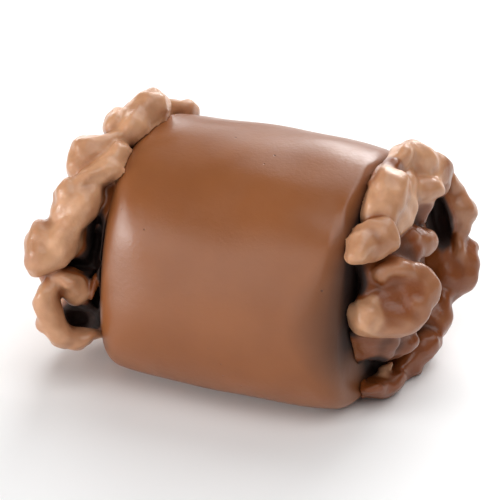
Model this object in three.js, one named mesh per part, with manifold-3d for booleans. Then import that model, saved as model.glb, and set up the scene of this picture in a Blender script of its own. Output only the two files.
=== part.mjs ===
// A marzipan roll coated in milk chocolate, with a crown of coated nut pieces on each end.
// Millimetres, +Z up. The roll lies along X and rests on its slightly flattened underside.
// The origin is the middle of that underside, level with the surface the roll lies on.

import * as THREE from 'three';
import { mergeVertices } from 'three/addons/utils/BufferGeometryUtils.js';
import Module from 'manifold-3d';

// The roll: a soft barrel, rounder on top than below.
const ROLL_LENGTH = 24.4;
const ROLL_WIDTH = 25.5;
const AXIS_HEIGHT = 11.75;
const TOP_RISE = 12.6;
const BOTTOM_DROP = 11.95;
const TOP_POWER = 2.15;
const BOTTOM_POWER = 3.2;
const RIM_ROUND = 1.5;
const END_TAPER = 0.028;
const TAPER_POWER = 2.6;

// The crowns: nut pieces round a core, clear of the roll and of the surface under it.
const CROWN_GAP = 0.3;
const FLOOR_GAP = 0.2;
const CORE_RADIUS = 10.4;
const CORE_OUT = 2.4;
const CORE_ROUND = 1.6;
const NUT_POWER = 2.4;
const HOLLOW_POWER = 2;
const HEAP_COUNT = 14;
const HEAP_REACH = 9.2;
const GOLDEN_ANGLE = 137.5;

// The photograph's view: degrees round from the front and up, its distance, its scale at the middle of the
// roll's axis, and the pixel where that middle shows.
const VIEW_TURN = 22;
const VIEW_RISE = 26;
const VIEW_DISTANCE = 280;
const PIXELS_PER_MM = 10.2;
const AXIS_PIXEL = { right: 260, down: 256 };

// Facets.
const ROLL_SIDES = 56;
const ROLL_SPANS = 8;
const CORE_SIDES = 24;
const ARC_STEPS = 3;
const LARGE_NUT = 4.5;
const LARGE_DETAIL = 2;
const SMALL_DETAIL = 1;

const CHOCOLATE = { color: 0x935a3b, roughness: 0.4, metalness: 0 };
const COATED_NUTS = { color: 0xa8734c, roughness: 0.42, metalness: 0 };

const HALF_LENGTH = ROLL_LENGTH / 2;
const HALF_WIDTH = ROLL_WIDTH / 2;

// Nut pieces as the photograph shows them: the pixel of the middle, the tilt of the length from level, how far
// out from the roll's end the middle is, and the length, width and depth along the view.
const LEFT_NUTS = [
  { right: 142, down: 117, tilt: 46, out: 0.3, size: [6.6, 3.6, 3.6] }, // long shard over the top rim
  { right: 180, down: 107, tilt: -15, out: -0.3, size: [3.6, 2.0, 2.0] }, // thin ridge behind it
  { right: 116, down: 124, tilt: 50, out: 3.0, size: [3.2, 2.4, 3.4] },
  { right: 90, down: 156, tilt: 42, out: 3.6, size: [5.2, 3.6, 4.0] }, // broad outer piece
  { right: 113, down: 163, tilt: 50, out: 0.9, size: [5.0, 2.4, 2.8] }, // strip along the rim
  { right: 91, down: 178, tilt: 40, out: 2.4, size: [3.6, 2.0, 2.8] },
  { right: 65, down: 190, tilt: 55, out: 4.6, size: [2.8, 1.8, 2.2] },
  { right: 59, down: 207, tilt: 55, out: 5.0, size: [1.8, 1.6, 1.8] },
  { right: 76, down: 222, tilt: 60, out: 3.0, size: [8.8, 3.6, 3.0] }, // long slab down the front
  { right: 60, down: 255, tilt: 30, out: 4.6, size: [4.6, 3.6, 3.0] },
  { right: 44, down: 250, tilt: 72, out: 6.0, size: [5.8, 4.0, 4.0] }, // bulb at the slab's foot
  { right: 73, down: 289, tilt: -80, out: 2.6, size: [3.6, 2.8, 2.8] }, // teardrop under the slab
  { right: 51, down: 296, tilt: 75, out: 4.8, size: [4.0, 2.8, 3.2] }, // crescent round a dark hollow
  { right: 50, down: 317, tilt: 105, out: 4.8, size: [3.6, 2.4, 3.0] },
  { right: 60, down: 334, tilt: -35, out: 3.8, size: [3.2, 2.4, 3.0] },
  { right: 80, down: 339, tilt: 10, out: 2.2, size: [3.6, 1.8, 2.8] },
];

const RIGHT_NUTS = [
  { right: 415, down: 162, tilt: -30, out: 2.2, size: [5.2, 3.8, 4.0] }, // block on the top rim
  { right: 431, down: 182, tilt: -75, out: 3.4, size: [4.0, 2.4, 3.4] },
  { right: 422, down: 195, tilt: 15, out: 3.8, size: [3.8, 2.4, 3.2] },
  { right: 386, down: 202, tilt: 70, out: 2.2, size: [6.2, 3.6, 3.4] }, // slab along the upper front rim
  { right: 403, down: 208, tilt: 80, out: 2.6, size: [5.2, 2.8, 2.8] },
  { right: 372, down: 243, tilt: 36, out: 2.4, size: [5.2, 4.0, 3.6] }, // tongue below the slab
  { right: 406, down: 242, tilt: 90, out: 3.3, size: [3.8, 2.8, 3.2] },
  { right: 424, down: 243, tilt: -70, out: 4.2, size: [3.6, 2.8, 3.2] }, // knob
  { right: 401, down: 298, tilt: 40, out: 4.4, size: [8.0, 7.2, 3.4] }, // dished nut half
  { right: 369, down: 313, tilt: 45, out: 2.2, size: [3.6, 3.4, 3.4] },
  { right: 456, down: 192, tilt: -58, out: 3.9, size: [6.0, 2.6, 3.0] }, // wavy wall along the back rim
  { right: 457, down: 219, tilt: -85, out: 3.9, size: [6.0, 2.6, 3.0] },
  { right: 465, down: 262, tilt: -85, out: 4.9, size: [6.8, 3.2, 3.4] },
  { right: 446, down: 262, tilt: 90, out: 4.0, size: [5.6, 4.4, 3.6] },
  { right: 442, down: 305, tilt: 75, out: 4.2, size: [4.4, 2.4, 3.4] }, // band along the lower rim
  { right: 430, down: 338, tilt: 60, out: 3.4, size: [3.4, 2.4, 3.2] },
  { right: 412, down: 361, tilt: 45, out: 2.6, size: [4.4, 2.4, 3.2] },
  { right: 392, down: 377, tilt: 15, out: 1.4, size: [4.0, 1.8, 2.6] },
  { right: 395, down: 346, tilt: 12, out: 2.6, size: [7.2, 1.8, 5.4] }, // thin plate under the nut half
];

// Dark hollows between the pieces, sunk in the core.
const LEFT_HOLLOWS = [
  { right: 80, down: 318, tilt: 0, out: 2.6, size: [3.2, 2.2, 4.6] }, // inside the crescent
  { right: 90, down: 250, tilt: 75, out: 1.6, size: [4.6, 1.6, 5.0] }, // behind the slab
];
const RIGHT_HOLLOWS = [
  { right: 440, down: 218, tilt: -80, out: 3.4, size: [5.6, 1.8, 7.0] }, // in front of the wall
  { right: 376, down: 370, tilt: 10, out: 1.6, size: [3.2, 2.2, 9.0] }, // under the plate
  { right: 356, down: 308, tilt: 85, out: 1.0, size: [8.6, 2.0, 8.0] }, // behind the nut half
];

// A filling piece sits at a clock angle round the roll's axis (0 on top, 90 at the front), at a reach from the
// axis and a distance out from the roll's end. Its size is its length, width and thickness.
// Its length runs round the rim, swings outwards, then pitches away from the axis.
const nut = (clock, reach, out, size, swing = 0, pitch = 0) => ({ clock, reach, out, size, swing, pitch });

// Filling pieces of uneven size: a heap over the roll's end, set out like the seeds of a sunflower,
// and a ring along the part of the rim that faces away.
const scatter = (place, ratio) => (place * ratio) % 1;
function fillNut(place, clock, reach, out) {
  const u = scatter(place, 0.618);
  const v = scatter(place, 0.414);
  const w = scatter(place, 0.732);
  const size = [5.2 + 2.4 * u, 4.0 + 1.4 * v, 3.2 + w];
  return nut(clock, reach, out + u - 0.5, size, 90 * (w - 0.5), 30 * (v - 0.5));
}
function nutHeap(out) {
  const heap = [];
  for (let place = 1; place <= HEAP_COUNT; place += 1) {
    const reach = HEAP_REACH * Math.sqrt((place - 0.5) / HEAP_COUNT);
    heap.push(fillNut(place, place * GOLDEN_ANGLE, reach, out));
  }
  return heap;
}
const nutRing = (clocks, reach, out) => clocks.map((clock, place) => fillNut(place + 1, clock, reach, out));

const LEFT_FILL = [
  ...nutHeap(2.8),
  ...nutRing([-32, -60, -88, -116, -144, -172], 11.5, 2.0),
  nut(126, 10.6, 4.0, [5.4, 4.2, 3.0], 30), // behind the dark hollow
];
const RIGHT_FILL = [...nutHeap(2.2), ...nutRing([-45, -75, -105, -135], 11.0, 2.2)];

const wasm = await Module();
wasm.setup();

// The closed solid of a geometry, from its positions alone, without triangles that collapse on an axis.
function solidOf(geometry) {
  geometry.deleteAttribute('normal');
  geometry.deleteAttribute('uv');
  const merged = mergeVertices(geometry);
  const corners = merged.index.array;
  const triangles = [];
  for (let first = 0; first < corners.length; first += 3) {
    const [a, b, c] = corners.subarray(first, first + 3);
    if (a !== b && b !== c && c !== a) triangles.push(a, b, c);
  }
  const vertProperties = merged.attributes.position.array;
  return new wasm.Manifold(new wasm.Mesh({ numProp: 3, vertProperties, triVerts: new Uint32Array(triangles) }));
}

function geometryOf(solid) {
  const { vertProperties, triVerts } = solid.getMesh();
  const geometry = new THREE.BufferGeometry();
  geometry.setAttribute('position', new THREE.BufferAttribute(vertProperties, 3));
  geometry.setIndex(new THREE.BufferAttribute(triVerts, 1));
  geometry.computeVertexNormals();
  return geometry;
}

// A disc along X from one end to the other, with round edges.
function roundDisc(radius, low, high, round, sides, spans) {
  const profile = [new THREE.Vector2(0, low)];
  const turnEdge = (centre, from) => {
    for (let step = 0; step <= ARC_STEPS; step += 1) {
      const angle = from + (step / ARC_STEPS) * (Math.PI / 2);
      profile.push(new THREE.Vector2(radius - round + round * Math.cos(angle), centre + round * Math.sin(angle)));
    }
  };
  turnEdge(low + round, -Math.PI / 2);
  for (let span = 1; span < spans; span += 1) {
    profile.push(new THREE.Vector2(radius, THREE.MathUtils.lerp(low + round, high - round, span / spans)));
  }
  turnEdge(high - round, 0);
  profile.push(new THREE.Vector2(0, high));
  return new THREE.LatheGeometry(profile, sides).rotateZ(-Math.PI / 2);
}

// How far the roll's section reaches from its axis in a direction, as a superellipse of two halves.
function sectionReach(y, z) {
  const power = z > 0 ? TOP_POWER : BOTTOM_POWER;
  const height = z > 0 ? TOP_RISE : BOTTOM_DROP;
  const length = Math.hypot(y, z);
  const sum = (Math.abs(y / length) / HALF_WIDTH) ** power + (Math.abs(z / length) / height) ** power;
  return sum ** (-1 / power);
}

// The roll, grown on every side by a margin: slimmer towards its ends, with a flat underside.
function rollSolid(margin = 0) {
  const half = HALF_LENGTH + margin;
  const geometry = roundDisc(HALF_WIDTH, -half, half, RIM_ROUND, ROLL_SIDES, ROLL_SPANS);
  const place = geometry.attributes.position;
  for (let i = 0; i < place.count; i += 1) {
    const [x, y, z] = [place.getX(i), place.getY(i), place.getZ(i)];
    const out = Math.hypot(y, z);
    const taper = 1 - END_TAPER * Math.abs(x / half) ** TAPER_POWER;
    const scale = out > 0 ? (taper * sectionReach(y, z) + margin) / HALF_WIDTH : 1;
    const height = Math.max(z * scale, -AXIS_HEIGHT - margin);
    place.setXYZ(i, x, y * scale, height + AXIS_HEIGHT);
  }
  return solidOf(geometry);
}

const turn = THREE.MathUtils.degToRad;

// One vector turned towards another, square to it, by an angle in degrees.
const blend = (a, b, angle) =>
  a.clone().multiplyScalar(Math.cos(turn(angle))).addScaledVector(b, Math.sin(turn(angle)));

// Where a filling piece is and how it is turned, on the end at a side (-1 left, 1 right).
function fillPlace(side, { clock, reach, out, swing, pitch }) {
  const axial = new THREE.Vector3(side, 0, 0);
  const radial = new THREE.Vector3(0, -Math.sin(turn(clock)), Math.cos(turn(clock)));
  const round = new THREE.Vector3(0, -Math.cos(turn(clock)), -Math.sin(turn(clock)));
  const level = blend(round, axial, swing);
  const length = blend(level, radial, pitch);
  const thickness = blend(radial, level, -pitch);
  const width = thickness.clone().cross(length);
  const centre = axial.clone().multiplyScalar(HALF_LENGTH + out).addScaledVector(radial, reach);
  centre.z += AXIS_HEIGHT;
  return new THREE.Matrix4().makeBasis(length, width, thickness).setPosition(centre);
}

// The same for a piece that the photograph shows: its middle is on the line of sight through its pixel, where
// that line is as far out from the roll's end as the piece is.
function seenPlace(side, { right, down, tilt, out }) {
  const front = new THREE.Vector3(0, -1, 0);
  const up = new THREE.Vector3(0, 0, 1);
  const level = blend(front, new THREE.Vector3(1, 0, 0), VIEW_TURN);
  const viewBack = blend(level, up, VIEW_RISE);
  const viewUp = blend(up, level, -VIEW_RISE);
  const viewRight = viewUp.clone().cross(viewBack);
  const eye = new THREE.Vector3(0, 0, AXIS_HEIGHT).addScaledVector(viewBack, VIEW_DISTANCE);
  const sight = viewBack.clone().multiplyScalar(-VIEW_DISTANCE * PIXELS_PER_MM);
  sight.addScaledVector(viewRight, right - AXIS_PIXEL.right).addScaledVector(viewUp, AXIS_PIXEL.down - down);
  const centre = eye.clone().addScaledVector(sight, (side * (HALF_LENGTH + out) - eye.x) / sight.x);
  const length = blend(viewRight, viewUp, tilt);
  const width = blend(viewUp, viewRight, -tilt);
  return new THREE.Matrix4().makeBasis(length, width, viewBack).setPosition(centre);
}

// One nut piece: a ball whose sides are filled out by a power.
function nutSolid(place, size, detail, power = NUT_POWER) {
  const ball = new THREE.IcosahedronGeometry(1, detail);
  const corners = ball.attributes.position;
  const corner = new THREE.Vector3();
  for (let i = 0; i < corners.count; i += 1) {
    corner.fromBufferAttribute(corners, i);
    const swell = corner.toArray().reduce((sum, value) => sum + Math.abs(value) ** power, 0) ** (1 / power);
    corner.divideScalar(swell);
    corners.setXYZ(i, corner.x, corner.y, corner.z);
  }
  ball.scale(size[0] / 2, size[1] / 2, size[2] / 2);
  ball.applyMatrix4(place);
  return solidOf(ball);
}

// A crown: the core and its filling, with the hollows sunk in, then the pieces that show.
function crownSolid(side, nuts, filling, hollows) {
  const core = roundDisc(CORE_RADIUS, -CORE_ROUND, CORE_OUT, CORE_ROUND, CORE_SIDES, 1);
  core.translate(HALF_LENGTH, 0, AXIS_HEIGHT);
  if (side < 0) core.rotateZ(Math.PI);
  let crown = solidOf(core);
  for (const piece of filling) {
    crown = crown.add(nutSolid(fillPlace(side, piece), piece.size, SMALL_DETAIL));
  }
  for (const hollow of hollows) {
    crown = crown.subtract(nutSolid(seenPlace(side, hollow), hollow.size, SMALL_DETAIL, HOLLOW_POWER));
  }
  for (const piece of nuts) {
    const detail = piece.size[0] > LARGE_NUT ? LARGE_DETAIL : SMALL_DETAIL;
    crown = crown.add(nutSolid(seenPlace(side, piece), piece.size, detail));
  }

  const floor = new THREE.BoxGeometry(4 * ROLL_LENGTH, 4 * ROLL_WIDTH, AXIS_HEIGHT);
  floor.translate(0, 0, FLOOR_GAP - AXIS_HEIGHT / 2);
  crown = crown.subtract(rollSolid(CROWN_GAP)).subtract(solidOf(floor));
  // The largest body is the crown. Slivers that the cuts leave loose are dropped.
  return crown.decompose().sort((a, b) => b.volume() - a.volume())[0];
}

function piece(name, solid, look) {
  const mesh = new THREE.Mesh(geometryOf(solid), new THREE.MeshStandardMaterial(look));
  mesh.name = name;
  return mesh;
}

const marzipanRoll = new THREE.Group();
marzipanRoll.add(piece('roll', rollSolid(), CHOCOLATE));
marzipanRoll.add(piece('nut_crown_left', crownSolid(-1, LEFT_NUTS, LEFT_FILL, LEFT_HOLLOWS), COATED_NUTS));
marzipanRoll.add(piece('nut_crown_right', crownSolid(1, RIGHT_NUTS, RIGHT_FILL, RIGHT_HOLLOWS), COATED_NUTS));

export default marzipanRoll;
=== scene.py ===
"""Looks of a marzipan roll: satin milk chocolate over a barrel, with a crown of coated nuts on each end."""
import math

import bpy
import numpy as np
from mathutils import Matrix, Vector


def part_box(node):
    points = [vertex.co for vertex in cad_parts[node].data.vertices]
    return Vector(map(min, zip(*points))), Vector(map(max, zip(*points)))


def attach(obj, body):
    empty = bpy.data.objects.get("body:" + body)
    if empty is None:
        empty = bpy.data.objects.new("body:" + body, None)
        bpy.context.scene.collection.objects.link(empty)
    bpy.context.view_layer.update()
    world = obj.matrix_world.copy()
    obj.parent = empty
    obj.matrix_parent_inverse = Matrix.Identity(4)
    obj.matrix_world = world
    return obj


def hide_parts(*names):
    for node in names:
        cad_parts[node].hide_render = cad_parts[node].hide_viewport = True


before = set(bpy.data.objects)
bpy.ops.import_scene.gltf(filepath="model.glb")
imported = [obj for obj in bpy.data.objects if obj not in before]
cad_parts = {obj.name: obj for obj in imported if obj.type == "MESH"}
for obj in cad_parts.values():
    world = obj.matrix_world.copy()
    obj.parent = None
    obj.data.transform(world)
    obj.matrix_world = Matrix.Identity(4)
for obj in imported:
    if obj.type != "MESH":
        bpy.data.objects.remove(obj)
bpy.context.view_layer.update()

# Sizes are millimetres, as in the solids, and become metres in the meshes.
MM = 0.001
# A distance too small to show, which keeps divisions away from zero.
TINY = 1e-9
# The roll's ends, by the sign of X there. Clock angles are degrees round its axis, 0 on top and 90 in front.
LEFT = -1
RIGHT = 1

# The roll, with its outer size from the frame. Its section is rounder on top than below.
ROLL_LOW, ROLL_HIGH = (np.array(corner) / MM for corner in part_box("roll"))
HALF_LENGTH = (ROLL_HIGH[0] - ROLL_LOW[0]) / 2
HALF_WIDTH = (ROLL_HIGH[1] - ROLL_LOW[1]) / 2
TOP_RISE = 12.6
BOTTOM_DROP = 11.95
TOP_POWER = 2.15
BOTTOM_POWER = 3.2
AXIS_HEIGHT = ROLL_HIGH[2] - TOP_RISE
AXIS_MIDDLE = np.array([0.0, 0.0, AXIS_HEIGHT])
END_TAPER = 0.05
TAPER_POWER = 3.2
FOOT_SPREAD = 0.07
UNDERSIDE_BLEND = 0.3
RIM_DEPTH = 1.6
# Where each rim is rounder: middle and spread over the axis, and extra length of the rounding.
RIM_SWELLS = {LEFT: (1.0, 6.0, 5.0), RIGHT: (-2.0, 5.0, 3.2)}

# The roll's mesh: points round it, along it, round each rim and in from there.
ROLL_SIDES = 336
ROLL_SPANS = 120
RIM_STEPS = 30
CAP_RINGS = 24

# The roll's relief fades towards the middle of each end, by this power of the reach. It has soft swells.
RELIEF_FADE = 4
SWELL_HEIGHT = 0.07
SWELL_WAVELENGTH = 9.0
SWELL_SEED = 5
# The coat sags: it is thin high on the sides and thick low on them, at these clock angles.
SAG_HEIGHT = 0.5
SAG_HIGH = 67
SAG_LOW = 103
SAG_SPREAD = 20
# A lip along the upper front of the right rim. Its line wanders: how far, how often round the roll, phase.
LIP_HEIGHT = 0.2
LIP_WIDTH = 0.45
LIP_INSET = 0.5
LIP_CLOCK = 40
LIP_SPREAD = 38
LIP_WANDERS = ((0.45, 5, 0.0), (0.25, 11, 1.0))

# The roll is painted with shade beside the crowns, where they shade it: from this far along the barrel to
# this far inside it.
PAINTED_SEAM_SHADE = "painted_seam_shade"
SEAM_SHADE_STARTS = {LEFT: -0.5, RIGHT: 0.3}
SEAM_SHADE_STOP = 1.6
# Where each band of painted shade is wider: middle and spread over the axis, and how much sooner it starts.
# It stops later by a share of that.
SEAM_SHADE_SWELLS = {LEFT: (1.0, 5.0, 0.3), RIGHT: (0.5, 6.5, 4.5)}
SEAM_SHADE_WIDENING = 0.3
# Low in front the painted shade is held back: clock angle, spread and how much later it is full dark.
BRIDGE_CLOCK = 134
BRIDGE_SPREAD = 18
BRIDGE_DEPTH = 7.0

# The crowns: nut pieces round a core on each end. A piece is squarer the higher its power is.
CORE_RADII = {LEFT: 10.4, RIGHT: 8.4}
CORE_OUT = 2.4
CORE_ROUND = 1.6
NUT_POWER = 2.4
HOLLOW_POWER = 2.0
ROLL_GAP = 0.06
FLOOR_GAP = 0.15
# Filling pieces: the least and greatest length, width and thickness, and how unevenly they are turned and
# coated. They are scattered by the fractions left over from multiples of the ratios.
HEAP_COUNT = 14
GOLDEN_ANGLE = 137.5
FILL_SIZES = ((5.2, 7.6), (4.0, 5.4), (3.2, 4.2))
FILL_RATIOS = (0.618, 0.414, 0.732)
FILL_SWING = 90
FILL_PITCH = 30
FILL_THINNING = 0.3
# How softly skins meet: the pieces of a lump, filling pieces, lumps, and a crown and the roll.
FLOW_BLEND = 1.4
FILL_BLEND = 1.0
CREASE_BLEND = 0.45
FILLET_BLEND = 0.5
# The grid on which a crown is worked out, with room round it and round each piece.
CROWN_STEP = 0.18
CROWN_MARGIN = 1.2
NUT_REACH = 2.5
# The grid is bent, so that the pieces come out uneven: the wavelength and height of each bend.
BENDS = ((5.0, 0.12), (1.7, 0.05))
BEND_SEED = 50
# The coat on the nuts, from thin (0) to thick (1), and above that painted shade up to the dark of the
# hollows. In creases it is darker, partly coat that gathers there and partly painted shade.
COAT_AND_SHADE = "coat"
COAT_BLEND = 1.0
THICK_COAT = 1.0
CREASE_REACH = 1.4
CREASE_COAT_AND_SHADE = 1.8
BUMP_COAT = -0.3
HOLLOW_PAINTED_SHADE = 3.0
HOLLOW_FADE = 0.8

# Smooth noise is a sum of waves, whose lengths are scattered between these factors.
WAVE_COUNT = 9
WAVE_SCATTER = (0.8, 1.3)

# Colours as seen on a screen, from 0 to 255.
ROLL_DARK = (133, 78, 41)
ROLL_LIGHT = (141, 84, 45)
SPECK = (72, 38, 24)
NUT_DARK = (126, 66, 27)
NUT_LIGHT = (203, 153, 116)
# The painted shade beside the crowns on the roll and in the nuts' hollows and creases.
PAINTED_SHADE_DARK = (40, 18, 8)

# The finish: gloss is roughness from 0 to 1, the glow's reach is that of red, green and blue, and patches,
# specks and grain have their sizes in millimetres.
CHOCOLATE_IOR = 1.5
GLOW_WEIGHT = 0.12
GLOW_REACH = (1.0, 0.4, 0.2)
ROLL_GLOSS = (0.30, 0.37)
NUT_GLOSS = (0.28, 0.40)
GLOSS_PATCH = 2.4
DULLING = 0.4
# Noise between these values runs from one finish to the other.
NOISE_SPAN = (0.3, 0.7)
NOISE_DETAIL = 3.0
NOISE_ROUGHNESS = 0.55
ROLL_PATCH = 7.0
NUT_PATCH = 3.0
NUT_PATCH_SHARE = 0.4
# A coat between these values runs from brown to the painted shade of the hollows.
PAINTED_SHADE_SPAN = (1, 2.2)
# Specks are pits round scattered points, in some patches alone. They fade out between two distances, which
# are shares of the points' spacing.
SPECK_SPACING = 1.6
SPECK_SPAN = (0.05, 0.09)
SPECK_PATCH = 5.0
SPECK_PATCH_SPAN = (0.52, 0.6)
SPECK_PATCH_DETAIL = 1.0
SPECK_SHARE = 0.6
PIT_DEPTH = 0.12
PIT_STRENGTH = 0.8
ROLL_GRAIN = dict(size=0.4, detail=2.0, height=0.04, strength=0.4)
NUT_GRAINS = (
    dict(size=1.1, detail=3.0, height=0.12, strength=0.5),
    dict(size=0.35, detail=2.0, height=0.05, strength=0.5),
)

# The photograph's view: degrees round from the front and up, its distance and scale, and how far the middle
# of the roll's axis is from the middle of the frame.
VIEW_TURN = 22
VIEW_RISE = 26
VIEW_DISTANCE = 280
PIXELS_PER_MM = 10.2
FRAME_PIXELS = 500
SENSOR_WIDTH = 36
AXIS_PIXEL_RIGHT = 10
AXIS_PIXEL_DOWN = 6

# The stage, in metres. Lamps stand at degrees round from the front and up, with their power in watts.
CLIP_START = 0.01
FLOOR_HALF = 1.5
FLOOR_SHADE = 0.92
FLOOR_ROUGHNESS = 0.85
SKY_STRENGTH = 0.12
LAMPS = {
    "key": dict(turn=-52, rise=7, distance=0.40, width=0.15, height=0.20, power=1.1),
    "front": dict(turn=-14, rise=16, distance=0.50, width=0.40, height=0.24, power=0.5),
    "top": dict(turn=45, rise=58, distance=0.50, width=0.45, height=0.40, power=1.3),
    "top_back": dict(turn=165, rise=56, distance=0.45, width=0.40, height=0.30, power=1.0),
    "left_rim": dict(turn=-140, rise=15, distance=0.40, width=0.20, height=0.16, power=0.4),
    "back_rim": dict(turn=180, rise=26, distance=0.40, width=0.24, height=0.16, power=1.0),
}


def seen(right, down, length, width, tilt, depth, out, **own):
    """A nut piece as the photograph shows it: the pixel of its middle, its length and width in pixels, the
    tilt of its length from level, its depth along the view in millimetres, and how far out from the roll's
    end its middle is. It may have a coat and a power of its own."""
    return dict(right=right, down=down, length=length, width=width, tilt=tilt, depth=depth, out=out, **own)


def lump(coat, pieces):
    """Nut pieces that flow into one another under a coat from thin (0) to thick (1); a coat above 1 paints
    shade on them.
    """
    return [{"coat": coat, **piece} for piece in pieces]


LEFT_LUMPS = [
    lump(0.0, [  # shard over the top rim
        seen(right=149, down=110, length=46, width=36, tilt=33, depth=4.8, out=0.3),
        seen(right=132, down=130, length=42, width=28, tilt=54, depth=4.4, out=0.6),
    ]),
    lump(0.05, [  # ridge behind it
        seen(right=179, down=109, length=40, width=22, tilt=-12, depth=3.6, out=-0.2),
        seen(right=193, down=110, length=14, width=10, tilt=75, depth=2.8, out=-0.6),
    ]),
    lump(0.25, [  # round piece behind the shard
        seen(right=115, down=122, length=32, width=22, tilt=55, depth=4.2, out=2.6),
    ]),
    lump(0.1, [  # broad outer piece
        seen(right=97, down=147, length=38, width=24, tilt=10, depth=4.6, out=3.0),
        seen(right=82, down=161, length=42, width=28, tilt=60, depth=4.6, out=4.0),
        seen(right=116, down=140, length=24, width=16, tilt=30, depth=4.0, out=1.8),
    ]),
    lump(0.0, [  # strip along the rim
        seen(right=115, down=162, length=44, width=24, tilt=58, depth=3.8, out=0.7),
        seen(right=103, down=172, length=32, width=26, tilt=50, depth=3.8, out=1.2),
        seen(right=87, down=180, length=36, width=16, tilt=28, depth=3.4, out=2.4),
    ]),
    lump(0.1, [  # slab down the front, its foot and bulb
        seen(right=77, down=216, length=74, width=26, tilt=60, depth=3.8, out=2.7, coat=0.15),
        seen(right=90, down=199, length=32, width=24, tilt=62, depth=3.6, out=1.8),
        seen(right=55, down=250, length=58, width=40, tilt=40, depth=4.6, out=4.6),
        seen(right=38, down=249, length=52, width=28, tilt=80, depth=4.6, out=6.0, coat=0.6),
        seen(right=66, down=190, length=24, width=16, tilt=55, depth=3.0, out=4.0),
        seen(right=60, down=208, length=24, width=14, tilt=68, depth=3.0, out=4.6),
    ]),
    lump(1.2, [  # strand across the dark gap
        seen(right=94, down=286, length=30, width=5, tilt=84, depth=1.2, out=1.0),
    ]),
    lump(0.35, [  # teardrop under the slab
        seen(right=75, down=288, length=38, width=32, tilt=-65, depth=3.8, out=3.1),
        seen(right=64, down=282, length=32, width=18, tilt=-25, depth=3.6, out=3.6),
    ]),
    lump(0.45, [  # crescent round a dark hollow
        seen(right=48, down=294, length=28, width=22, tilt=60, depth=4.2, out=4.8),
        seen(right=48, down=311, length=34, width=21, tilt=98, depth=4.0, out=4.8),
        seen(right=56, down=329, length=34, width=22, tilt=-48, depth=4.0, out=4.0),
        seen(right=72, down=338, length=32, width=17, tilt=-8, depth=4.0, out=2.8),
        seen(right=87, down=338, length=26, width=12, tilt=22, depth=3.6, out=1.5),
    ]),
]
# Pieces that lie in shade under or behind others, such as the folds, the band, the plate and the lower wall,
# have a coat above 1, which darkens them towards painted shade.
RIGHT_LUMPS = [
    lump(0.0, [  # block on the top rim and the slab beside it
        seen(right=417, down=157, length=44, width=32, tilt=-22, depth=5.0, out=2.0, coat=-0.1),
        seen(right=400, down=156, length=30, width=20, tilt=30, depth=4.4, out=1.4),
        seen(right=431, down=170, length=38, width=26, tilt=-76, depth=4.8, out=2.7, coat=-0.1),
        seen(right=425, down=189, length=34, width=24, tilt=8, depth=4.2, out=3.5, coat=-0.1),
        seen(right=417, down=208, length=30, width=24, tilt=90, depth=4.0, out=2.6, coat=1.2),
        seen(right=405, down=197, length=54, width=26, tilt=90, depth=4.2, out=2.5, coat=0.35),
        seen(right=386, down=200, length=64, width=35, tilt=68, depth=4.2, out=1.9, coat=0.15, power=3.2),
        seen(right=398, down=209, length=54, width=18, tilt=97, depth=4.2, out=2.5),
    ]),
    lump(1.2, [  # folds between the block and the roll
        seen(right=390, down=167, length=28, width=16, tilt=50, depth=4.4, out=1.1),
        seen(right=378, down=178, length=26, width=8, tilt=52, depth=4.0, out=0.7),
    ]),
    lump(0.7, [  # tongue below the slab
        seen(right=375, down=239, length=48, width=40, tilt=32, depth=4.4, out=2.2),
        seen(right=359, down=250, length=30, width=22, tilt=60, depth=4.0, out=1.5, coat=0.35),
    ]),
    lump(0.9, [  # knob
        seen(right=422, down=241, length=32, width=30, tilt=-30, depth=4.6, out=3.8),
        seen(right=406, down=244, length=36, width=30, tilt=90, depth=4.4, out=3.0),
    ]),
    lump(0.95, [  # dished nut half
        seen(right=405, down=296, length=78, width=64, tilt=52, depth=3.4, out=4.7),
        seen(right=386, down=317, length=62, width=40, tilt=12, depth=3.4, out=3.3, coat=0.65),
        seen(right=367, down=315, length=36, width=28, tilt=72, depth=3.6, out=1.9, coat=0.1),
        seen(right=393, down=270, length=48, width=22, tilt=8, depth=3.4, out=3.6, coat=0.85),
    ]),
    lump(0.95, [  # wavy wall along the back rim
        seen(right=452, down=182, length=26, width=15, tilt=-68, depth=3.4, out=3.4, coat=0.8),
        seen(right=460, down=207, length=34, width=24, tilt=-58, depth=3.6, out=4.3, coat=0.8),
        seen(right=459, down=234, length=52, width=19, tilt=80, depth=3.4, out=4.3),
        seen(right=466, down=265, length=54, width=28, tilt=80, depth=3.8, out=5.1, coat=1.1),
        seen(right=446, down=274, length=52, width=34, tilt=90, depth=4.6, out=3.4, coat=1.3),
    ]),
    lump(1.3, [  # band along the lower rim
        seen(right=443, down=305, length=42, width=17, tilt=78, depth=4.0, out=3.8),
        seen(right=431, down=334, length=32, width=20, tilt=70, depth=3.8, out=3.2),
        seen(right=415, down=352, length=54, width=24, tilt=34, depth=4.2, out=2.8),
        seen(right=402, down=373, length=40, width=20, tilt=26, depth=4.0, out=1.9),
        seen(right=392, down=379, length=30, width=14, tilt=24, depth=5.0, out=1.7),
        seen(right=383, down=384, length=38, width=14, tilt=18, depth=4.4, out=1.5),
        seen(right=373, down=388, length=24, width=12, tilt=8, depth=4.4, out=1.3),
    ]),
    lump(-0.2, [  # crumb of bare nut
        seen(right=381, down=374, length=11, width=8, tilt=60, depth=1.4, out=1.5),
        seen(right=387, down=367, length=14, width=4, tilt=50, depth=1.0, out=1.6),
    ]),
    lump(1.5, [  # plate under the nut half
        seen(right=389, down=347, length=56, width=22, tilt=12, depth=4.0, out=2.0),
        seen(right=414, down=340, length=32, width=10, tilt=20, depth=3.6, out=2.4),
    ]),
]
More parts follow.
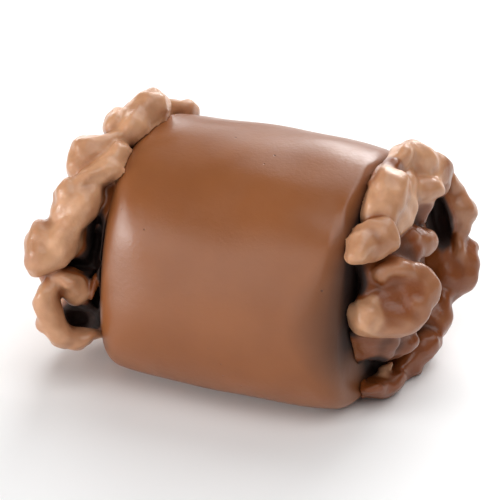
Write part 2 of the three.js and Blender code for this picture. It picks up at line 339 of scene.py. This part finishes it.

# Hollows between the pieces, sunk in the core and its filling; their walls get painted shade.
LEFT_HOLLOWS = [
    seen(right=78, down=320, length=40, width=27, tilt=-5, depth=10.0, out=2.6),  # inside the crescent
    seen(right=94, down=243, length=60, width=16, tilt=82, depth=8.0, out=1.4),  # behind the slab
    seen(right=80, down=265, length=42, width=15, tilt=6, depth=7.0, out=2.2),  # under the slab's foot
    seen(right=96, down=288, length=44, width=14, tilt=90, depth=8.0, out=1.2),  # round the strand
]
RIGHT_HOLLOWS = [
    seen(right=440, down=222, length=64, width=22, tilt=-76, depth=7.6, out=3.4),  # in front of the wall
    seen(right=375, down=370, length=30, width=24, tilt=-15, depth=7.0, out=1.7),  # round the crumb
    seen(right=352, down=304, length=84, width=22, tilt=88, depth=9.0, out=0.9),  # behind the nut half
    seen(right=362, down=201, length=50, width=14, tilt=62, depth=6.0, out=0.8),  # behind the slab
]

# Dents in the pieces themselves.
LEFT_DENTS = [
    seen(right=63, down=226, length=48, width=7, tilt=60, depth=2.4, out=2.0),  # fold along the slab
]
RIGHT_DENTS = [
    seen(right=409, down=293, length=52, width=42, tilt=40, depth=4.7, out=6.2),  # dish of the nut half
    seen(right=414, down=252, length=18, width=12, tilt=0, depth=3.0, out=4.9),  # dimple in the knob
]


def fill_nut(place, clock, reach, out, coat):
    """A filling piece of uneven size, by its place in a row: at a clock angle, a reach from the axis and a
    distance out from the roll's end."""
    u, v, w = ((place * ratio) % 1 for ratio in FILL_RATIOS)
    size = tuple(low + (high - low) * share for (low, high), share in zip(FILL_SIZES, (u, v, w)))
    turn = dict(swing=FILL_SWING * (w - 0.5), pitch=FILL_PITCH * (v - 0.5))
    out, coat = out + u - 0.5, coat - FILL_THINNING * w
    return dict(clock=clock, reach=reach, out=out, size=size, coat=coat, **turn)


def nut_heap(reach, out, coat):
    """Filling over the roll's end, set out like the seeds of a sunflower."""
    heap = []
    for place in range(1, HEAP_COUNT + 1):
        share = math.sqrt((place - 0.5) / HEAP_COUNT)
        heap.append(fill_nut(place, place * GOLDEN_ANGLE, reach * share, out, coat))
    return heap


def nut_ring(clocks, reach, out, coat):
    """Filling along the rim."""
    return [fill_nut(place, clock, reach, out, coat) for place, clock in enumerate(clocks, 1)]


LEFT_FILL = nut_heap(reach=9.2, out=2.8, coat=0.5)
LEFT_FILL += nut_ring((-32, -60, -88, -116, -144, -172), reach=11.5, out=2.0, coat=0.4)
LEFT_FILL += nut_ring((88, 138, 162), reach=9.4, out=4.6, coat=0.8)  # behind the dark hollows
# The right filling lies in shade under the pieces; its coat above 1 is painted shade.
RIGHT_FILL = nut_heap(reach=6.4, out=1.4, coat=1.75)
RIGHT_FILL += nut_ring((-45, -75, -105, -135), reach=11.0, out=2.2, coat=1.2)


def waves(points, wavelength, height, seed):
    """Smooth seeded noise at points (x, y, z arrays): plane waves in scattered directions."""
    rng = np.random.default_rng(seed)
    total = np.zeros(np.broadcast(*points).shape)
    for _ in range(WAVE_COUNT):
        course = rng.standard_normal(3)
        course *= 2 * math.pi / (wavelength * rng.uniform(*WAVE_SCATTER) * np.linalg.norm(course))
        phase = rng.uniform(0, 2 * math.pi)
        total += np.sin(sum(c * p for c, p in zip(course, points)) + phase)
    return total * height * math.sqrt(2 / WAVE_COUNT)


def bell(value, middle, spread):
    """1 at a middle value, falling smoothly towards 0 on both sides."""
    return np.exp(-(((value - middle) / spread) ** 2))


def smooth_min(a, b, blend):
    """The smaller of two distances, with a fillet where they meet."""
    overlap = np.maximum(blend - np.abs(a - b), 0) / blend
    return np.minimum(a, b) - overlap * overlap * blend / 4


def rounded_corner(a, b, radius):
    """The distance to the inside of two faces that meet in a round edge."""
    inner = np.minimum(np.maximum(a, b) + radius, 0)
    return inner + np.hypot(np.maximum(a + radius, 0), np.maximum(b + radius, 0)) - radius


def section_reach(y, z):
    """How far the roll's section reaches from its axis in the direction of a point."""
    length = np.maximum(np.hypot(y, z), TINY)
    power = np.where(z > 0, TOP_POWER, BOTTOM_POWER)
    height = np.where(z > 0, TOP_RISE, BOTTOM_DROP)
    total = (np.abs(y / length) / HALF_WIDTH) ** power + (np.abs(z / length) / height) ** power
    return total ** (-1 / power)


def taper(along):
    """The roll's section at a place along it (0 in the middle, 1 at an end), as a share of its full size."""
    return 1 - END_TAPER * np.minimum(np.abs(along), 1) ** TAPER_POWER


def half_length(height):
    """Half the roll's length at a height over its axis: the coating spreads towards the underside."""
    low = np.clip(-height / BOTTOM_DROP, 0, 1)
    return HALF_LENGTH * (1 + FOOT_SPREAD * low * low)


def swelling(swell, rise):
    """What a swelling adds, by the height over the axis where the skin is."""
    middle, spread, extra = swell
    return extra * bell(rise, middle, spread)


def rim_length(side, rise):
    """How far a rim's rounding runs along the roll."""
    return RIM_DEPTH + swelling(RIM_SWELLS[side], rise)


def roll_distance(x, y, z):
    """About the distance from a point to the roll's skin, negative inside."""
    height = z - AXIS_HEIGHT
    half = half_length(height)
    full = section_reach(y, height)
    reach = np.hypot(y, height)
    rise = full * height / np.maximum(reach, TINY)
    rim = np.where(x < 0, rim_length(LEFT, rise), rim_length(RIGHT, rise))
    end = (np.abs(x) - half) * RIM_DEPTH / rim
    return rounded_corner(reach - full * taper(x / half), end, RIM_DEPTH)


def direction(turn, rise):
    """A direction from the object: degrees round from the front to the right, and up."""
    turn, rise = math.radians(turn), math.radians(rise)
    return np.array([math.sin(turn) * math.cos(rise), -math.cos(turn) * math.cos(rise), math.sin(rise)])


def view():
    """The photograph's viewpoint, and its right, up and back directions."""
    back = direction(VIEW_TURN, VIEW_RISE)
    right = direction(VIEW_TURN + 90, 0)
    up = np.cross(back, right)
    shift = (AXIS_PIXEL_DOWN * up - AXIS_PIXEL_RIGHT * right) / PIXELS_PER_MM
    return AXIS_MIDDLE + shift + VIEW_DISTANCE * back, right, up, back


def solid(centre, axes, size, coat, power=NUT_POWER):
    """A nut piece in space. The rows of its axes are its length, width and thickness directions."""
    return dict(centre=centre, axes=np.stack(axes), half=np.array(size) / 2, coat=coat, power=power)


def seen_solid(side, piece, power):
    """A piece that the photograph shows, on the line of sight through its pixel, where that line is as far
    out from the roll's end as the piece is."""
    eye, right, up, back = view()
    across, down = piece["right"] - FRAME_PIXELS / 2, piece["down"] - FRAME_PIXELS / 2
    sight = across * right - down * up - PIXELS_PER_MM * VIEW_DISTANCE * back
    pixel = (side * (HALF_LENGTH + piece["out"]) - eye[0]) / sight[0]
    tilt = math.radians(piece["tilt"])
    length = math.cos(tilt) * right + math.sin(tilt) * up
    width = math.cos(tilt) * up - math.sin(tilt) * right
    size = (piece["length"] * pixel, piece["width"] * pixel, piece["depth"])
    coat, power = piece.get("coat", THICK_COAT), piece.get("power", power)
    return solid(eye + pixel * sight, (length, width, back), size, coat, power)


def fill_solid(side, piece):
    """A filling piece. Its length runs round the rim, swings outwards, then pitches away from the axis."""
    clock, swing, pitch = (math.radians(piece[key]) for key in ("clock", "swing", "pitch"))
    axial = np.array([side, 0.0, 0.0])
    radial = np.array([0.0, -math.sin(clock), math.cos(clock)])
    around = np.array([0.0, -math.cos(clock), -math.sin(clock)])
    level = math.cos(swing) * around + math.sin(swing) * axial
    length = math.cos(pitch) * level + math.sin(pitch) * radial
    thickness = math.cos(pitch) * radial - math.sin(pitch) * level
    centre = AXIS_MIDDLE + axial * (HALF_LENGTH + piece["out"]) + radial * piece["reach"]
    return solid(centre, (length, np.cross(thickness, length), thickness), piece["size"], piece["coat"])


def nut_distance(points, piece):
    """About the distance from points to a nut piece's skin, negative inside."""
    half, power = piece["half"], piece["power"]
    share = []
    for axis, reach in zip(piece["axes"], half):
        along = sum((p - c) * a for p, c, a in zip(points, piece["centre"], axis))
        share.append(np.abs(along) / reach + TINY)
    level = sum(s**power for s in share) ** (1 / power)
    slope = np.sqrt(sum((s ** (power - 1) / r) ** 2 for s, r in zip(share, half))) / level ** (power - 1)
    return (level - 1) / slope


def core_distance(points, side):
    """The distance to the round-edged disc that carries a crown's pieces."""
    reach = np.hypot(points[1], points[2] - AXIS_HEIGHT)
    return rounded_corner(reach - CORE_RADII[side], side * points[0] - HALF_LENGTH - CORE_OUT, CORE_ROUND)


def nut_corners(piece):
    """The low and high corners of the box round a nut piece."""
    half = np.abs(piece["axes"].T * piece["half"]).sum(1)
    return piece["centre"] - half, piece["centre"] + half


def group_corners(pieces):
    """The low and high corners of the box round some nut pieces."""
    corners = np.array([nut_corners(piece) for piece in pieces])
    return corners[:, 0].min(0), corners[:, 1].max(0)


def window(lines, pieces):
    """The block of grid cells round some nut pieces."""
    low, high = group_corners(pieces)
    starts = [np.searchsorted(line, a - NUT_REACH) for line, a in zip(lines, low)]
    stops = [np.searchsorted(line, b + NUT_REACH) for line, b in zip(lines, high)]
    return tuple(slice(int(start), int(stop)) for start, stop in zip(starts, stops))


def nearer(distance, other):
    """Where the other skin is the nearer one: from 0 to 1, with a soft border."""
    return np.clip(0.5 + (distance - other) / COAT_BLEND, 0, 1)


def group_skin(points, pieces):
    """The distance to nut pieces that flow into one another, and their coat."""
    distance = nut_distance(points, pieces[0])
    coat = np.full_like(distance, pieces[0]["coat"])
    for piece in pieces[1:]:
        other = nut_distance(points, piece)
        coat += nearer(distance, other) * (piece["coat"] - coat)
        distance = smooth_min(distance, other, FLOW_BLEND)
    return distance, coat


def flood(cells, seed):
    """The open cells that join the seed cell."""
    reached = np.zeros_like(cells)
    reached[seed] = True
    count = 0
    while reached.sum() > count:
        count = reached.sum()
        grown = reached.copy()
        for axis in range(3):
            target, source = np.moveaxis(grown, axis, 0), np.moveaxis(reached, axis, 0)
            target[1:] |= source[:-1]
            target[:-1] |= source[1:]
        reached = grown & cells
    return reached


def without_pinches(field):
    """The field, filled in where parts of the body touch along an edge only."""
    pinched = True
    while np.any(pinched):
        inside = field < 0
        pinched = np.zeros_like(inside)
        for axes in ((0, 1), (0, 2), (1, 2)):
            after_first, after_second = (np.roll(inside, -1, axis) for axis in axes)
            across = np.roll(inside, (-1, -1), axes)
            touching = (inside == across) & (after_first == after_second) & (inside != after_first)
            for shift in np.ndindex(2, 2):
                pinched |= np.roll(touching, shift, axes)
        pinched &= ~inside
        field = np.where(pinched, -np.maximum(field, TINY), field)
    return field


def one_body(field):
    """The field with loose scraps dropped and sealed hollows filled."""
    inside = field < 0
    body = flood(inside, np.unravel_index(np.argmin(field), field.shape))
    field = np.where(inside & ~body, -field, field)
    outside = flood(~body, (0, 0, 0))
    return np.where(~body & ~outside, -np.abs(field), field)


def bent_grid(lines, side):
    """The grid's points, and the same points moved a little, so that the nut pieces come out uneven."""
    grid = np.meshgrid(*lines, indexing="ij")
    points = []
    # Each bend along each axis of each crown has a seed of its own.
    for axis in range(3):
        bend = sum(
            waves(grid, wavelength, height, seed=BEND_SEED + scale + 10 * axis + 40 * side)
            for scale, (wavelength, height) in enumerate(BENDS)
        )
        points.append(grid[axis] + bend)
    return grid, points


def crown_field(side, lumps, filling, hollows, dents):
    """A crown on a grid: the distance to its skin and how thick its coat is, with painted shade on the walls
    of its hollows, and the grid's first corner. It is core and filling, less the hollows, then the lumps,
    less their dents."""
    pieces = sum(lumps, filling)
    low, high = group_corners(pieces)
    lines = [np.arange(a, b, CROWN_STEP) for a, b in zip(low - CROWN_MARGIN, high + CROWN_MARGIN)]
    grid, points = bent_grid(lines, side)
    field = core_distance(points, side)
    coat = np.full_like(field, THICK_COAT)

    def near(pieces):
        block = window(lines, pieces)
        return block, *group_skin([p[block] for p in points], pieces)

    for piece in filling:
        block, distance, fill_coat = near([piece])
        coat[block] += nearer(field[block], distance) * (fill_coat - coat[block])
        field[block] = smooth_min(field[block], distance, FILL_BLEND)
    for hollow in hollows:
        block, distance, _ = near([hollow])
        field[block] = -smooth_min(-field[block], distance, CREASE_BLEND)
        # Painted shade on the walls of the hollows.
        coat[block] += (HOLLOW_PAINTED_SHADE - coat[block]) * np.clip(1 - distance / HOLLOW_FADE, 0, 1)
    for made in lumps:
        block, distance, made_coat = near(made)
        coat[block] += nearer(field[block], distance) * (made_coat - coat[block])
        field[block] = smooth_min(field[block], distance, CREASE_BLEND)
    for dent in dents:
        block, distance, _ = near([dent])
        field[block] = -smooth_min(-field[block], distance, FLOW_BLEND)
    to_roll = roll_distance(*grid)
    field = np.maximum(smooth_min(field, to_roll, FILLET_BLEND), ROLL_GAP - to_roll)
    field = np.maximum(field, FLOOR_GAP - grid[2])
    return one_body(without_pinches(field)), coat, np.array([line[0] for line in lines])


def cell_points(field):
    """The grid's cells that the zero level of a field crosses, and a point in each: the mean of the places
    where the level crosses the cell's edges, in steps from the grid's first corner."""
    inside = field < 0
    cells = np.array(field.shape) - 1

    def corner(values, offset):
        return values[tuple(slice(o, o + n) for o, n in zip(offset, cells))]

    hits = np.zeros(cells)
    place = np.zeros((3, *cells))
    for axis in range(3):
        first, second = (k for k in range(3) if k != axis)
        for u, v in np.ndindex(2, 2):
            start = [0, 0, 0]
            start[first], start[second] = u, v
            end = list(start)
            end[axis] = 1
            here, there = corner(field, start), corner(field, end)
            crossed = corner(inside, start) != corner(inside, end)
            hits += crossed
            place[axis] += np.where(crossed, here / np.where(crossed, here - there, 1), 0)
            place[first] += crossed * u
            place[second] += crossed * v
    active = hits > 0
    return active, np.argwhere(active) + (place[:, active] / hits[active]).T


def cell_faces(inside, index):
    """A face round each grid edge that the skin crosses, between the points of the four cells there. Faces
    look outwards."""
    cells = index.shape
    faces = []
    for axis in range(3):
        first, second = (k for k in range(3) if k != axis)
        near = [slice(1, n) for n in cells]
        near[axis] = slice(0, cells[axis])
        far = list(near)
        far[axis] = slice(1, cells[axis] + 1)
        before, after = inside[tuple(near)], inside[tuple(far)]
        for leaving, crossed in ((True, before & ~after), (False, ~before & after)):
            at = np.argwhere(crossed)
            at[:, first] += 1
            at[:, second] += 1
            ring = []
            for back_first, back_second in ((1, 1), (0, 1), (0, 0), (1, 0)):
                cell = at.copy()
                cell[:, first] -= back_first
                cell[:, second] -= back_second
                ring.append(index[tuple(cell.T)])
            turned = (axis == 1) == leaving
            faces.append(np.stack(ring[::-1] if turned else ring, 1))
    return np.concatenate(faces).tolist()


def surface_net(field):
    """A mesh of a field's zero level: its points, in steps from the grid's first corner, and its faces."""
    active, places = cell_points(field)
    index = np.full(active.shape, -1)
    index[active] = np.arange(len(places))
    return places, cell_faces(field < 0, index)


def crease_depth(field):
    """How far each place lies below what is round it: positive in creases, negative on bumps."""
    near = np.clip(field, -CREASE_REACH, CREASE_REACH)
    cells = round(CREASE_REACH / CROWN_STEP)
    mean = near
    for axis in range(3):
        mean = sum(np.roll(mean, shift, axis) for shift in range(-cells, cells + 1)) / (2 * cells + 1)
    return near - mean


def sample(values, places):
    """The values of a grid at places between its points, counted in steps from its first corner."""
    base = np.floor(places).astype(int)
    part = places - base
    total = np.zeros(len(places))
    for corner in np.ndindex(2, 2, 2):
        weight = np.where(corner, part, 1 - part).prod(axis=1)
        total += weight * values[tuple((base + corner).T)]
    return total


def placed(name, data):
    """A new object in the scene."""
    made = bpy.data.objects.new(name, data)
    bpy.context.scene.collection.objects.link(made)
    return made


def mesh_object(name, vertices, faces):
    """A smooth object from vertices in millimetres and the corners of its faces."""
    mesh = bpy.data.meshes.new(name)
    mesh.from_pydata((vertices * MM).tolist(), [], faces)
    mesh.shade_smooth()
    return placed(name, mesh)


def carry(mesh, name, values):
    """Puts a value for the look on each vertex."""
    made = mesh.attributes.new(name, "FLOAT", "POINT")
    made.data.foreach_set("value", values.astype(np.float32))


def dress(piece, node, material):
    """Ties a piece to the frame: its body, the solid it stands for, its finish."""
    piece.data.materials.append(material)
    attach(piece, "root")
    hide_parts(node)


def roll_relief(x, y, z):
    """How far the chocolate stands proud of the plain barrel, with z counted from its axis."""
    swell = waves((x, y, z), SWELL_WAVELENGTH, SWELL_HEIGHT, SWELL_SEED)
    clock = np.degrees(np.arctan2(-y, z))
    wander = sum(size * np.sin(np.radians(clock) * count + phase) for size, count, phase in LIP_WANDERS)
    from_end = x - half_length(z) + wander
    lip = LIP_HEIGHT * bell(clock, LIP_CLOCK, LIP_SPREAD) * bell(from_end, -LIP_INSET, LIP_WIDTH)
    sag = bell(np.abs(clock), SAG_LOW, SAG_SPREAD) - bell(np.abs(clock), SAG_HIGH, SAG_SPREAD)
    return swell + lip + SAG_HEIGHT * sag


def roll_profile():
    """Rings from the middle of one end to the other. Each has its share of the left rim's length, of the
    straight stretch and of the right rim's length that lie behind it, and its share of the full reach."""
    inner = 1 - RIM_DEPTH / HALF_WIDTH
    cap = np.linspace(0, inner, CAP_RINGS)[1:-1]
    turn = np.linspace(0, math.pi / 2, RIM_STEPS)
    stretch = np.linspace(0, 1, ROLL_SPANS)[1:-1]
    none, whole = np.zeros_like, np.ones_like
    left = np.concatenate([none(cap), 1 - np.cos(turn), whole(stretch), whole(turn), whole(cap)])
    straight = np.concatenate([none(cap), none(turn), stretch, whole(turn), whole(cap)])
    right = np.concatenate([none(cap), none(turn), none(stretch), np.sin(turn), whole(cap)])
    swell = inner + (1 - inner) * np.sin(turn)
    share = np.concatenate([cap, swell, whole(stretch), swell[::-1], cap[::-1]])
    return left, straight, right, share


def seam_painted_shade(side, along, inward, clock, rise):
    """How much painted shade the skin has beside a crown, from 0 on the barrel to 1 on the end, by the
    distances along the roll from its end and inwards from the barrel."""
    swell = swelling(SEAM_SHADE_SWELLS[side], rise)
    bridge = BRIDGE_DEPTH * bell(clock, BRIDGE_CLOCK, BRIDGE_SPREAD)
    start = SEAM_SHADE_STARTS[side] + swell
    stop = SEAM_SHADE_STOP + SEAM_SHADE_WIDENING * swell + bridge
    return np.clip((start - along + inward) / (start + stop), 0, 1)


def roll_skin():
    """The coated barrel's points, ring after ring and then the middle of each end, and how much painted
    shade they have.
    """
    left, straight, right, share = (values[:, None] for values in roll_profile())
    turn = np.linspace(0, 2 * math.pi, ROLL_SIDES, endpoint=False)
    across, up = np.sin(turn), np.cos(turn)
    full = section_reach(across, up)
    left_rim, right_rim = rim_length(LEFT, full * up), rim_length(RIGHT, full * up)
    middle = 2 * HALF_LENGTH - left_rim - right_rim
    x = left * left_rim + straight * middle + right * right_rim - HALF_LENGTH
    inward = full * (1 - share)
    clock = np.degrees(np.arctan2(-across, up))
    left_painted_shade = seam_painted_shade(LEFT, HALF_LENGTH + x, inward, clock, full * up)
    right_painted_shade = seam_painted_shade(RIGHT, HALF_LENGTH - x, inward, clock, full * up)
    reach = full * taper(x / HALF_LENGTH) * share
    x = x * half_length(reach * up) / HALF_LENGTH
    reach = reach + share**RELIEF_FADE * roll_relief(x, reach * across, reach * up)
    z = -smooth_min(-reach * up, np.full_like(x, AXIS_HEIGHT), UNDERSIDE_BLEND)
    rings = np.stack([x, reach * across, z + AXIS_HEIGHT], -1).reshape(-1, 3)
    ends = np.array([[-HALF_LENGTH, 0, AXIS_HEIGHT], [HALF_LENGTH, 0, AXIS_HEIGHT]])
    painted_seam_shade = np.append(np.maximum(left_painted_shade, right_painted_shade).ravel(), [1, 1])
    return np.concatenate([rings, ends]), painted_seam_shade


def roll_faces(rings):
    """The faces between the coated barrel's rings, and the fans that close its ends."""
    left_end = rings * ROLL_SIDES
    right_end = left_end + 1
    last = left_end - ROLL_SIDES
    sides = [(side, (side + 1) % ROLL_SIDES) for side in range(ROLL_SIDES)]
    faces = []
    for first in range(0, last, ROLL_SIDES):
        second = first + ROLL_SIDES
        faces += [(first + side, second + side, second + after, first + after) for side, after in sides]
    for side, after in sides:
        faces.append((left_end, side, after))
        faces.append((right_end, last + after, last + side))
    return faces


def roll_object():
    """The coated barrel, with painted shade along its seams with the crowns."""
    vertices, painted_seam_shade = roll_skin()
    made = mesh_object("chocolate_roll", vertices, roll_faces(len(vertices) // ROLL_SIDES))
    carry(made.data, PAINTED_SEAM_SHADE, painted_seam_shade)
    return made


def crown(end, side, lumps, filling, hollows, dents, look):
    """A crown of coated nuts on one end of the roll. Its creases are darker, partly chocolate that gathers
    there and partly painted shade.
    """
    lumps = [[seen_solid(side, piece, NUT_POWER) for piece in made] for made in lumps]
    hollows = [seen_solid(side, piece, HOLLOW_POWER) for piece in hollows]
    dents = [seen_solid(side, piece, HOLLOW_POWER) for piece in dents]
    filling = [fill_solid(side, piece) for piece in filling]
    field, coat, origin = crown_field(side, lumps, filling, hollows, dents)
    places, faces = surface_net(field)
    made = mesh_object(f"coated_nuts_{end}", origin + CROWN_STEP * places, faces)
    # Creases get a thicker coat and painted shade; bumps a thinner coat.
    coat = coat + np.maximum(CREASE_COAT_AND_SHADE * crease_depth(field), BUMP_COAT)
    carry(made.data, COAT_AND_SHADE, sample(coat, places))
    dress(made, f"nut_crown_{end}", look)


def linear(red, green, blue):
    """A linear colour from a screen colour of 0 to 255, by the sRGB curve."""
    levels = (value / 255 for value in (red, green, blue))
    return tuple(v / 12.92 if v < 0.04045 else ((v + 0.055) / 1.055) ** 2.4 for v in levels) + (1.0,)


class Look:
    """A material's node tree, with short calls for the nodes that the looks use."""

    # A mix node's sockets for two colours and for their mix, which follow those for numbers and vectors.
    MIX_INPUTS = (6, 7)
    MIX_OUTPUT = 2

    def __init__(self, name):
        self.material = bpy.data.materials.new(name)
        self.material.use_nodes = True
        self.tree = self.material.node_tree
        self.shader = self.tree.nodes["Principled BSDF"]
        self.place = self.tree.nodes.new("ShaderNodeTexCoord").outputs["Object"]

    def node(self, kind, **values):
        """A new node with some of its settings."""
        made = self.tree.nodes.new(kind)
        for key, value in values.items():
            setattr(made, key, value)
        return made

    def link(self, source, socket):
        """Leads a node's output to a socket."""
        self.tree.links.new(source, socket)

    def noise(self, size, detail=NOISE_DETAIL):
        """Noise from 0 to 1 whose patches are about a size in millimetres."""
        made = self.node("ShaderNodeTexNoise")
        made.inputs["Scale"].default_value = 1 / (size * MM)
        made.inputs["Detail"].default_value = detail
        made.inputs["Roughness"].default_value = NOISE_ROUGHNESS
        self.link(self.place, made.inputs["Vector"])
        return made.outputs["Fac"]

    def cells(self, size):
        """The distance to scattered points about a size in millimetres apart."""
        made = self.node("ShaderNodeTexVoronoi")
        made.inputs["Scale"].default_value = 1 / (size * MM)
        self.link(self.place, made.inputs["Vector"])
        return made.outputs["Distance"]

    def spread(self, source, span, result):
        """A value moved from one range to another, smoothly, and held at its ends."""
        made = self.node("ShaderNodeMapRange", interpolation_type="SMOOTHSTEP")
        for key, value in zip(("From Min", "From Max", "To Min", "To Max"), (*span, *result)):
            made.inputs[key].default_value = value
        self.link(source, made.inputs["Value"])
        return made.outputs["Result"]

    def mix(self, factor, first, second):
        """Two colours mixed by a factor. Each is a colour or a node's output."""
        made = self.node("ShaderNodeMix", data_type="RGBA")
        self.link(factor, made.inputs["Factor"])
        for place, value in zip(self.MIX_INPUTS, (first, second)):
            if isinstance(value, tuple):
                made.inputs[place].default_value = value
            else:
                self.link(value, made.inputs[place])
        return made.outputs[self.MIX_OUTPUT]

    def both(self, operation, first, second):
        """Two values put together, and held between 0 and 1."""
        made = self.node("ShaderNodeMath", operation=operation, use_clamp=True)
        self.link(first, made.inputs[0])
        self.link(second, made.inputs[1])
        return made.outputs[0]

    def attribute(self, name):
        """A value that the mesh carries at its vertices."""
        return self.node("ShaderNodeAttribute", attribute_name=name).outputs["Fac"]

    def bump(self, height, distance, strength, below=None):
        """Relief of a height in millimetres, laid over other relief."""
        made = self.node("ShaderNodeBump")
        made.inputs["Distance"].default_value = distance * MM
        made.inputs["Strength"].default_value = strength
        self.link(height, made.inputs["Height"])
        if below is not None:
            self.link(below, made.inputs["Normal"])
        return made.outputs["Normal"]

    def grain(self, size, detail, height, strength, below=None):
        """Relief of noise."""
        return self.bump(self.noise(size, detail), height, strength, below)


def satin(look, gloss, dull):
    """Milk chocolate's uneven satin gloss, which is lost where it is dull, and its slight glow."""
    roughness = look.spread(look.noise(GLOSS_PATCH), NOISE_SPAN, gloss)
    dulling = look.spread(dull, (0, 1), (0, DULLING))
    look.link(look.both("ADD", roughness, dulling), look.shader.inputs["Roughness"])
    look.shader.inputs["IOR"].default_value = CHOCOLATE_IOR
    look.shader.inputs["Subsurface Weight"].default_value = GLOW_WEIGHT
    look.shader.inputs["Subsurface Radius"].default_value = GLOW_REACH
    look.shader.inputs["Subsurface Scale"].default_value = MM


def roll_chocolate():
    """The roll's coat: two browns in soft patches, with scattered pits and dark specks, and painted shade
    beside the crowns.
    """
    look = Look("milk_chocolate")
    patches = look.spread(look.noise(ROLL_PATCH), NOISE_SPAN, (0, 1))
    colour = look.mix(patches, linear(*ROLL_DARK), linear(*ROLL_LIGHT))
    specks = look.spread(look.cells(SPECK_SPACING), SPECK_SPAN, (1, 0))
    some = look.spread(look.noise(SPECK_PATCH, SPECK_PATCH_DETAIL), SPECK_PATCH_SPAN, (0, SPECK_SHARE))
    specks = look.both("MULTIPLY", specks, some)
    colour = look.mix(specks, colour, linear(*SPECK))
    # Painted shade beside the crowns, which also dulls the gloss there.
    painted_seam_shade = look.attribute(PAINTED_SEAM_SHADE)
    colour = look.mix(painted_seam_shade, colour, linear(*PAINTED_SHADE_DARK))
    look.link(colour, look.shader.inputs["Base Color"])
    satin(look, ROLL_GLOSS, painted_seam_shade)
    relief = look.grain(**ROLL_GRAIN)
    relief = look.bump(look.spread(specks, (0, 1), (1, 0)), PIT_DEPTH, PIT_STRENGTH, relief)
    look.link(relief, look.shader.inputs["Normal"])
    return look.material


def nut_chocolate():
    """The nuts' coat: tan where it is thin, brown where it is thick, with painted shade in the hollows and
    deep creases.
    """
    look = Look("coated_nuts")
    coat = look.attribute(COAT_AND_SHADE)
    thick = look.spread(coat, (0, 1), (0, 1))
    # Painted shade in the hollows and deep creases.
    hollow = look.spread(coat, PAINTED_SHADE_SPAN, (0, 1))
    patches = look.spread(look.noise(NUT_PATCH), NOISE_SPAN, (0, NUT_PATCH_SHARE))
    colour = look.mix(patches, linear(*NUT_LIGHT), linear(*NUT_DARK))
    colour = look.mix(thick, colour, linear(*NUT_DARK))
    colour = look.mix(hollow, colour, linear(*PAINTED_SHADE_DARK))
    look.link(colour, look.shader.inputs["Base Color"])
    satin(look, NUT_GLOSS, hollow)
    relief = None
    for grain in NUT_GRAINS:
        relief = look.grain(**grain, below=relief)
    look.link(relief, look.shader.inputs["Normal"])
    return look.material


def floor_white():
    """The floor's matt white."""
    look = Look("floor_white")
    look.shader.inputs["Base Color"].default_value = (FLOOR_SHADE, FLOOR_SHADE, FLOOR_SHADE, 1)
    look.shader.inputs["Roughness"].default_value = FLOOR_ROUGHNESS
    return look.material


def aim(thing, towards):
    """Points a lamp's or camera's -Z along a direction."""
    thing.rotation_mode = "QUATERNION"
    thing.rotation_quaternion = Vector(towards).to_track_quat("-Z", "Y")


def softbox(name, turn, rise, distance, width, height, power):
    """A rectangular lamp that faces the middle of the object."""
    lamp = bpy.data.lights.new(name, "AREA")
    lamp.shape = "RECTANGLE"
    lamp.size, lamp.size_y = width, height
    lamp.energy = power
    made = placed(name, lamp)
    made.location = AXIS_MIDDLE * MM + direction(turn, rise) * distance
    aim(made, -direction(turn, rise))


def set_camera():
    """The photograph's camera."""
    eye, _, _, back = view()
    camera = bpy.data.cameras.new("camera")
    camera.sensor_width = SENSOR_WIDTH
    camera.lens = SENSOR_WIDTH * PIXELS_PER_MM * VIEW_DISTANCE / FRAME_PIXELS
    camera.clip_start = CLIP_START
    made = placed("camera", camera)
    made.location = eye * MM
    aim(made, -back)
    bpy.context.scene.camera = made


def set_floor():
    """A pale floor under the object."""
    mesh = bpy.data.meshes.new("floor")
    corners = [(x * FLOOR_HALF, y * FLOOR_HALF, 0) for x, y in ((-1, -1), (1, -1), (1, 1), (-1, 1))]
    mesh.from_pydata(corners, [], [(0, 1, 2, 3)])
    mesh.materials.append(floor_white())
    floor = placed("floor", mesh)


def set_light():
    """Soft studio light."""
    world = bpy.data.worlds.new("studio")
    world.use_nodes = True
    sky = world.node_tree.nodes["Background"]
    sky.inputs["Color"].default_value = (1, 1, 1, 1)
    sky.inputs["Strength"].default_value = SKY_STRENGTH
    bpy.context.scene.world = world
    bpy.context.scene.view_settings.view_transform = "Standard"
    for name, lamp in LAMPS.items():
        softbox(name, **lamp)


set_camera()
set_floor()
set_light()
dress(roll_object(), "roll", roll_chocolate())
nut_look = nut_chocolate()
crown("left", LEFT, LEFT_LUMPS, LEFT_FILL, LEFT_HOLLOWS, LEFT_DENTS, nut_look)
crown("right", RIGHT, RIGHT_LUMPS, RIGHT_FILL, RIGHT_HOLLOWS, RIGHT_DENTS, nut_look)
